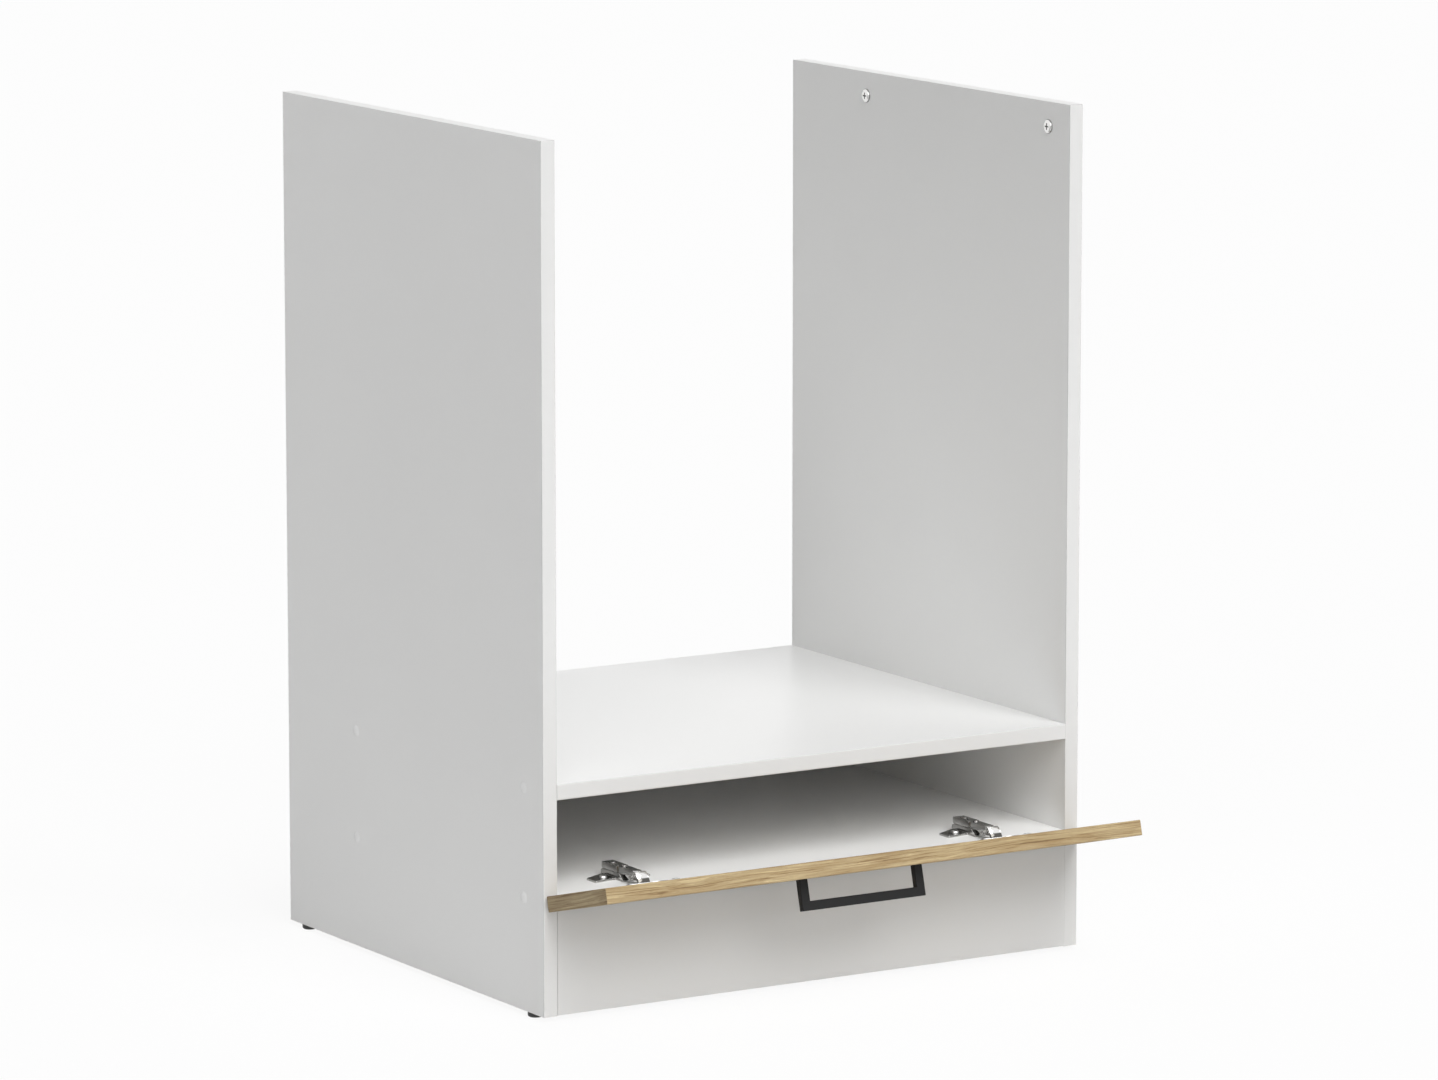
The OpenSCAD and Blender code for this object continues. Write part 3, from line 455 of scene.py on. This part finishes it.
def makeOakFlap():
    material, tree, shader, place = newMaterial("oakDecorFlap", {"Specular IOR Level": 0.35})
    turned = put(tree, "Mapping", vector_type="POINT")
    turned.inputs["Rotation"].default_value = (math.radians(-flap["angle"]), 0, 0)
    wire(tree, place, turned.inputs["Vector"])
    along = turned.outputs[0]
    axes = put(tree, "SeparateXYZ")
    wire(tree, along, axes.inputs[0])
    # on the ends the grain runs up the band: the axes change places
    ends = calc(tree, "GREATER_THAN", calc(tree, "ABSOLUTE", axes.outputs[0]),
                flapEnd - flap["edge"])
    swapped = put(tree, "CombineXYZ")
    for target, source in enumerate((2, 1, 0)):
        wire(tree, axes.outputs[source], swapped.inputs[target])
    chosen = put(tree, "Mix", data_type="VECTOR")
    wire(tree, ends, chosen.inputs[0])
    wire(tree, along, chosen.inputs[4])
    wire(tree, swapped.outputs[0], chosen.inputs[5])
    grain = useGroup(tree, oakGroup, chosen.outputs[1])
    # painted shade on the ends of the flap
    shade = calc(tree, "SUBTRACT", 1.0, calc(tree, "MULTIPLY", ends, 1 - flap["endShade"]))
    dark = put(tree, "CombineColor")
    for channel in range(3):
        wire(tree, shade, dark.inputs[channel])
    wire(tree, mixColors(tree, 1.0, grain.outputs["Color"], dark.outputs[0], "MULTIPLY"),
         shader.inputs["Base Color"])
    wire(tree, spread(tree, grain.outputs["Tone"], *flap["rough"]), shader.inputs["Roughness"])
    bump(tree, shader, grain.outputs["Height"], 0.3, 0.08 * mm)
    return material


dress("flap_front", makeOakFlap())
print("flap and back dressed")


# Small parts: plated steel, plastic and beech
def makePlated(name, tint, rough, cloud, relief, dark=None):
    material, tree, shader, place = newMaterial(name, {"Metallic": 1.0})
    plating = useGroup(tree, metalGroup, place, {"Cloud": cloud})
    color = mixColors(tree, plating.outputs["Tone"], tuple(sheet["shade"] * c for c in tint), tint)
    if dark:  # painted shade along an axis, from a place to a place: the nose of the outer link where it enters the cup, and the socket of a connector head
        axes = put(tree, "SeparateXYZ")
        wire(tree, place, axes.inputs[0])
        shadeBand = step(tree, axes.outputs[dark["axis"]], dark["from"], dark["to"])
        color = mixColors(tree, shadeBand, color, dark["color"])
    wire(tree, color, shader.inputs["Base Color"])
    wire(tree, spread(tree, plating.outputs["Tone"], *rough), shader.inputs["Roughness"])
    bump(tree, shader, plating.outputs["Height"], relief, 0.02 * mm)
    return material


def makePlastic(name, color, rough, grain, relief, gloss=0.5):
    material, tree, shader, place = newMaterial(name, {"Specular IOR Level": gloss})
    peel = useGroup(tree, pearlGroup, place, {"Grain": grain})
    wire(tree, mixColors(tree, peel.outputs["Height"], tuple(0.9 * c for c in color), color),
         shader.inputs["Base Color"])
    wire(tree, spread(tree, peel.outputs["Height"], *rough), shader.inputs["Roughness"])
    bump(tree, shader, peel.outputs["Height"], relief, 0.1 * mm)
    return material


dowelWood = {
    "grain": (60.0, 1500.0, 1500.0),
    "stops": [(0.3, (0.5, 0.31, 0.16)), (0.7, (0.72, 0.52, 0.32))],
}


def makeBeech():
    material, tree, shader, place = newMaterial("beechDowels", {"Specular IOR Level": 0.3})
    grain = noise(tree, stretch(tree, place, dowelWood["grain"]), 1.0, 3.0, 0.6)
    wire(tree, ramp(tree, grain, dowelWood["stops"]), shader.inputs["Base Color"])
    wire(tree, spread(tree, grain, 0.6, 0.8), shader.inputs["Roughness"])
    bump(tree, shader, grain, 0.3, 0.05 * mm)
    return material


# painted shade: the nose of the outer link darkens below this height, where it goes into the cup
noseShade = {"axis": 2, "from": 129.4 * mm, "to": 128.4 * mm, "color": (0.12, 0.115, 0.105)}
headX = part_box("connector_screws")[0][0]    # the front of the connector heads
# painted shade: each connector head darkens inside its socket
socket = {"axis": 0, "from": headX + 0.8 * mm, "to": headX + 1.1 * mm, "color": (0.25, 0.25, 0.25)}
# painted shade: the hinge nickel is a darker tint than bright nickel, for the dark reflections on
# the arms and plates
nickel = makePlated("nickelSteelShaded", (0.43, 0.426, 0.418), (0.14, 0.26), 160.0, 0.25)
# painted highlight: a bright copy of the nickel for the broken hinge edges
edgeHighlightNickel = makePlated("nickelEdgeHighlight", (0.93, 0.925, 0.91), (0.12, 0.2), 160.0, 0.1)
chrome = makePlated("brightNickel", (0.88, 0.875, 0.86), (0.06, 0.13), 90.0, 0.1, noseShade)
headNickel = makePlated("connectorNickel", (0.88, 0.875, 0.86), (0.1, 0.18), 90.0, 0.1, socket)
zinc = makePlated("zincSteel", (0.66, 0.665, 0.66), (0.24, 0.42), 420.0, 0.3)
blackPlastic = makePlastic("blackPlastic", (0.022, 0.022, 0.023), (0.42, 0.55), 2400.0, 0.35)
# the caps are a lighter white than the laminate: partly their own plastic and partly a painted
# highlight
whitePlastic = makePlastic("whitePlastic", (0.96, 0.96, 0.952), (0.16, 0.24), 1500.0, 0.1)
blackMetal = makePlastic("blackPowderCoat", (0.01, 0.01, 0.0105), (0.4, 0.5), 3200.0, 0.3, 0.22)
beech = makeBeech()
finishes = {
    "back_nails": zinc, "carcass_screws": zinc, "foot_nails": zinc, "plinth_brackets": zinc,
    "bracket_screws": zinc, "connector_screws": headNickel, "connector_sleeves": chrome,
    "plate_screws": zinc, "depth_screws": nickel, "overlay_screws": nickel, "arm_pins": nickel,
    "cup_pins": nickel, "cup_screws": zinc, "handle_screws": zinc, "wood_dowels": beech,
    "feet": blackPlastic, "cover_caps": whitePlastic, "handle": blackMetal,
    "mounting_plate_left": nickel, "mounting_plate_right": nickel,
    "hinge_arm_left": nickel, "hinge_arm_right": nickel,
    "outer_link_left": chrome, "outer_link_right": chrome,
    "inner_link_left": nickel, "inner_link_right": nickel,
    "hinge_cup_left": nickel, "hinge_cup_right": nickel,
}
for name, material in finishes.items():
    dress(name, material)
print("small parts dressed")


# A new mesh piece that rides on a body, takes the given material and stands for a node
def newPiece(name, points, faces, body, material, stands):
    mesh = bpy.data.meshes.new(name)
    mesh.from_pydata(points.tolist(), [], faces)
    mesh.materials.append(material)
    piece = bpy.data.objects.new(name, mesh)
    bpy.context.scene.collection.objects.link(piece)
    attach(piece, body)
    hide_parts(*stands)
    return piece


def soften(piece, width, segments, angle, edgeSlot=-1):
    bevel = piece.modifiers.new("softEdges", "BEVEL")
    bevel.material = edgeSlot
    bevel.width = width
    bevel.segments = segments
    bevel.limit_method = "ANGLE"
    bevel.angle_limit = math.radians(angle)
    bevel.use_clamp_overlap = True
    bevel.harden_normals = True
    piece.data.polygons.foreach_set("use_smooth", np.ones(len(piece.data.polygons), bool))


# The flap's own axes at rest: along is up the board, out is from its inner face to its front
flapTurn = math.radians(flap["angle"])
corner = np.array([0, -197.026, 121.152]) * mm    # lower edge of the flap's inner face
along = np.array([0, -math.sin(flapTurn), math.cos(flapTurn)])
out = np.array([0, -math.cos(flapTurn), -math.sin(flapTurn)])
across = np.array([1.0, 0, 0])

handle = {
    "pitch": 128 * mm, "width": 9 * mm, "depth": 7 * mm, "rise": 30 * mm,
    "up": 72 * mm, "board": 15 * mm,
    "edge": 0.7 * mm, "steps": 3, "angle": 40,   # the softened edges
}


# Bow handle: a flat bar carried round a square U. Ring i is P(i) + a M(i) + b along, where
# M is the mitre direction of the path, one over the cosine of half the turn long.
def makeHandle():
    half, top = handle["pitch"] / 2, handle["board"] + handle["rise"] - handle["width"] / 2
    flat = np.array([[-half, handle["board"]], [-half, top], [half, top], [half, handle["board"]]])
    path = corner + along * handle["up"] + flat[:, :1] * across + flat[:, 1:] * out
    mitre = np.array([[-1, 0], [-1, 1], [1, 1], [1, 0]])
    mitre = mitre[:, :1] * across + mitre[:, 1:] * out
    a = np.array([-1, 1, 1, -1]) * handle["width"] / 2
    b = np.array([-1, -1, 1, 1]) * handle["depth"] / 2
    points = path[:, None] + a[None, :, None] * mitre[:, None] + b[None, :, None] * along
    faces = [(i + j, i + (j + 1) % 4, i + 4 + (j + 1) % 4, i + 4 + j)
             for i in (0, 4, 8) for j in range(4)]
    faces += [(3, 2, 1, 0), (12, 13, 14, 15)]
    piece = newPiece("bowHandle", points.reshape(-1, 3), faces, bodyOf["handle"],
                     blackMetal, ["handle"])
    fixNormals(piece)
    soften(piece, handle["edge"], handle["steps"], handle["angle"])
    return piece


def fixNormals(piece):
    work = bmesh.new()
    work.from_mesh(piece.data)
    bmesh.ops.recalc_face_normals(work, faces=work.faces)
    work.to_mesh(piece.data)
    work.free()


makeHandle()
print("handle made")

# Hinge parts: the solids with their sheet edges broken, so that they catch the light, and a
# painted highlight: the broken edges take a brighter nickel
hinge = {
    "edge": 0.3 * mm, "cupEdge": 0.24 * mm,   # width of the broken edges
    "steps": 2, "angle": 38,
    "merge": 0.002 * mm, "flat": 0.6,         # joins loose points, and faces within these degrees
}


# A copy of a node, its loose triangles merged and its flat faces joined before the bevel
def softTwin(name, material, width):
    work = bmesh.new()
    work.from_mesh(nodes[name].data)
    bmesh.ops.remove_doubles(work, verts=work.verts, dist=hinge["merge"])
    bmesh.ops.dissolve_limit(work, angle_limit=math.radians(hinge["flat"]), verts=work.verts,
                             edges=work.edges)
    mesh = bpy.data.meshes.new(name + "Soft")
    work.to_mesh(mesh)
    work.free()
    mesh.materials.clear()
    mesh.materials.append(material)
    # the bevel faces take the second slot, the painted highlight
    mesh.materials.append(edgeHighlightNickel)
    mesh.polygons.foreach_set("material_index", np.zeros(len(mesh.polygons), int))
    piece = bpy.data.objects.new(name + "Soft", mesh)
    bpy.context.scene.collection.objects.link(piece)
    soften(piece, width, hinge["steps"], hinge["angle"], 1)
    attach(piece, bodyOf[name])
    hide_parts(name)
    return piece


for side in ("left", "right"):
    softTwin("hinge_arm_" + side, nickel, hinge["edge"])
    softTwin("mounting_plate_" + side, nickel, hinge["edge"])
    softTwin("outer_link_" + side, chrome, hinge["edge"])
    softTwin("hinge_cup_" + side, nickel, hinge["cupEdge"])
print("hinges softened")

# Studio: wide soft suns, three from the front at different heights and one from either side, a
# soft box low in front, next to no sky light, and a white floor that keeps the shadow
studio = {
    "suns": {  # turn from the front towards the right, height, energy, width in degrees
        "frontSun": (0, 45, 1.8, 40),
        "highSun": (0, 65, 0.6, 40),
        "lowSun": (0, 25, 0.33, 40),
        "leftSun": (-45, 35, 0.69, 40),
        "rightSun": (95, 20, 0.4, 40),
    },
    "boxes": {  # place, width, watts
        "frontBox": ((0, -2.6, 0.6), 1.6, 7.8),
    },
    "aim": (0, 0, 0.4),
    "sky": (0.02, 0.02, 0.02), "backdrop": (1.0, 1.0, 1.0),
    "floorColor": (0.92, 0.92, 0.92), "floorGlow": 0.92, "floorSize": 60,
}


# 1 for a ray that shows the background itself: camera, glossy and transmission rays
def seenRay(tree):
    light = put(tree, "LightPath")
    shown = calc(tree, "MAXIMUM", light.outputs["Is Camera Ray"], light.outputs["Is Glossy Ray"])
    return calc(tree, "MAXIMUM", shown, light.outputs["Is Transmission Ray"])


def hang(name, light, turn, place=(0, 0, 0)):
    lamp = bpy.data.objects.new(name, light)
    lamp.location, lamp.rotation_euler = place, turn
    bpy.context.scene.collection.objects.link(lamp)


def makeStudio():
    for name, (turn, height, energy, width) in studio["suns"].items():
        sun = bpy.data.lights.new(name, "SUN")
        sun.energy, sun.angle = energy, math.radians(width)
        hang(name, sun, (math.radians(90 - height), 0, math.radians(turn)))
    for name, (place, size, watts) in studio["boxes"].items():
        box = bpy.data.lights.new(name, "AREA")
        box.shape, box.size, box.energy = "SQUARE", size, watts
        aim = np.array(studio["aim"]) - np.array(place)
        hang(name, box, (math.atan2(math.hypot(aim[0], aim[1]), -aim[2]), 0,
                         math.atan2(aim[1], aim[0]) - math.pi / 2), place)

    world = bpy.data.worlds.new("studio")
    bpy.context.scene.world = world
    world.use_nodes = True
    tree = world.node_tree
    wire(tree, mixColors(tree, seenRay(tree), studio["sky"], studio["backdrop"]),
         tree.nodes["Background"].inputs["Color"])

    half = studio["floorSize"] / 2
    corners = np.array([[-half, -half, 0], [half, -half, 0], [half, half, 0], [-half, half, 0]])
    mesh = bpy.data.meshes.new("studioFloor")
    mesh.from_pydata(corners.tolist(), [], [(0, 1, 2, 3)])
    floor = bpy.data.objects.new("studioFloor", mesh)
    bpy.context.scene.collection.objects.link(floor)
    material = bpy.data.materials.new("studioFloor")
    material.use_nodes = True
    tree = material.node_tree
    tree.nodes.clear()
    matt = put(tree, "BsdfDiffuse", {"Color": (*studio["floorColor"], 1)})
    glow = put(tree, "Emission", {"Color": (*studio["backdrop"], 1)})
    both = put(tree, "MixShader")
    wire(tree, calc(tree, "MULTIPLY", seenRay(tree), studio["floorGlow"]), both.inputs[0])
    wire(tree, matt.outputs[0], both.inputs[1])
    wire(tree, glow.outputs[0], both.inputs[2])
    wire(tree, both.outputs[0], put(tree, "OutputMaterial").inputs[0])
    mesh.materials.append(material)


makeStudio()
print("studio set")

bpy.context.view_layer.update()
